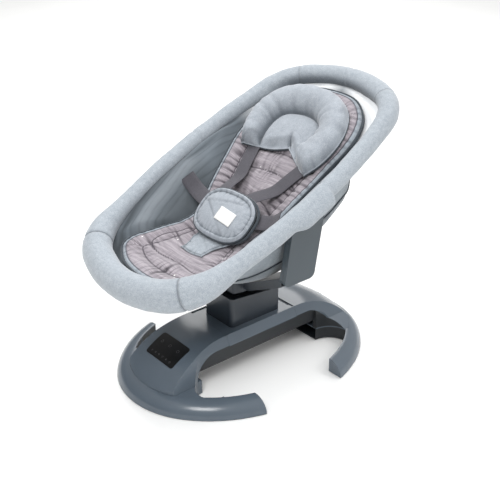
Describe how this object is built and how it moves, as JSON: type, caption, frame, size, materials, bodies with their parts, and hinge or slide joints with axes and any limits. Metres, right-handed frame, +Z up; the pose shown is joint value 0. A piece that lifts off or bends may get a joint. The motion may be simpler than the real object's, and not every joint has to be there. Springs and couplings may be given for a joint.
{
  "type": "baby swing",
  "caption": "Electric baby swing: C-shaped feet, arched bridge, drive housing, U-shaped yoke, reclining padded hoop seat with harness.",
  "frame": {"origin": "on the floor, under the middle of the base", "axes": "+X to the baby's left, +Y to the head end, +Z up"},
  "size_m": [0.49, 0.7298, 0.6497],
  "materials": {
    "shell_slate": "satin moulded plastic",
    "chassis_black": "fine texture",
    "housing_grey": "satin moulded plastic",
    "panel_gloss": "gloss touch panel",
    "steel": "plain steel",
    "cast_metal": "as cast",
    "copper_wire": "enamelled winding",
    "board": "circuit board",
    "rubber_black": "matt",
    "fabric_grey": "heather knit",
    "fabric_mesh": "open mesh",
    "fabric_print": "fine printed weave",
    "webbing": "woven webbing",
    "buckle_plastic": "moulded plastic",
    "button_red": "moulded plastic",
    "board_white": "sheet plastic"
  },
  "bodies": {
    "base": {"front_foot_cover": "shell_slate", "rear_foot_cover": "shell_slate", "front_foot_tray": "chassis_black", "rear_foot_tray": "chassis_black", "front_deck": "shell_slate", "rear_deck": "shell_slate", "bridge_cover": "shell_slate", "bridge_beam": "chassis_black", "control_panel": "panel_gloss", "panel_board": "board", "main_board": "board", "speaker": "chassis_black", "dc_socket": "chassis_black", "housing_shell": "housing_grey", "housing_cap": "chassis_black", "bearing_blocks": "cast_metal", "front_bearing": "steel", "rear_bearing": "steel", "drive_coil": "copper_wire", "rubber_feet": "rubber_black", "base_screws": "steel"},
    "yoke": {"swing_shaft": "steel", "swing_hub": "chassis_black", "drive_magnet": "steel", "centering_springs": "steel", "yoke_frame": "steel", "yoke_cover": "housing_grey", "left_arm_cover": "shell_slate", "right_arm_cover": "shell_slate", "left_arm_liner": "shell_slate", "right_arm_liner": "shell_slate", "hinge_pins": "steel", "recline_springs": "steel"},
    "left_button": {"left_recline_button": "housing_grey"},
    "right_button": {"right_recline_button": "housing_grey"},
    "seat": {"hoop_frame": "steel", "left_hinge_plate": "steel", "right_hinge_plate": "steel", "foot_roll": "fabric_grey", "head_roll": "fabric_grey", "left_roll": "fabric_grey", "right_roll": "fabric_grey", "seat_tub": "fabric_grey", "seat_lining": "fabric_mesh", "back_board": "board_white", "seat_cushion": "fabric_print", "head_pillow": "fabric_grey", "left_shoulder_strap": "webbing", "right_shoulder_strap": "webbing", "left_waist_strap": "webbing", "right_waist_strap": "webbing", "crotch_strap": "fabric_grey", "buckle_body": "buckle_plastic", "buckle_tongues": "buckle_plastic", "buckle_spring": "steel", "buckle_pad": "fabric_grey"},
    "buckle_release": {"buckle_button": "button_red"}
  },
  "joints": [
    {"name": "seat_swing", "type": "hinge", "parent": "base", "child": "yoke", "pos_m": [0, 0, 0.15], "axis": [0, 1, 0], "range_deg": [-8, 8], "stiffness_Nm_per_rad": 60},
    {"name": "seat_recline", "type": "hinge", "parent": "yoke", "child": "seat", "pos_m": [0, 0.004, 0.42016], "axis": [1, 0, 0], "range_deg": [-12, 6]},
    {"name": "left_recline_press", "type": "slide", "parent": "yoke", "child": "left_button", "axis": [-1, 0, 0], "range_m": [0, 0.0022], "stiffness_N_per_m": 1500, "springref_m": -0.001},
    {"name": "right_recline_press", "type": "slide", "parent": "yoke", "child": "right_button", "axis": [1, 0, 0], "range_m": [0, 0.0022], "stiffness_N_per_m": 1500, "springref_m": -0.001},
    {"name": "buckle_press", "type": "slide", "parent": "seat", "child": "buckle_release", "axis": [0, 0.4321, -0.9018], "range_m": [0, 0.0022], "stiffness_N_per_m": 1200, "springref_m": -0.001}
  ]
}
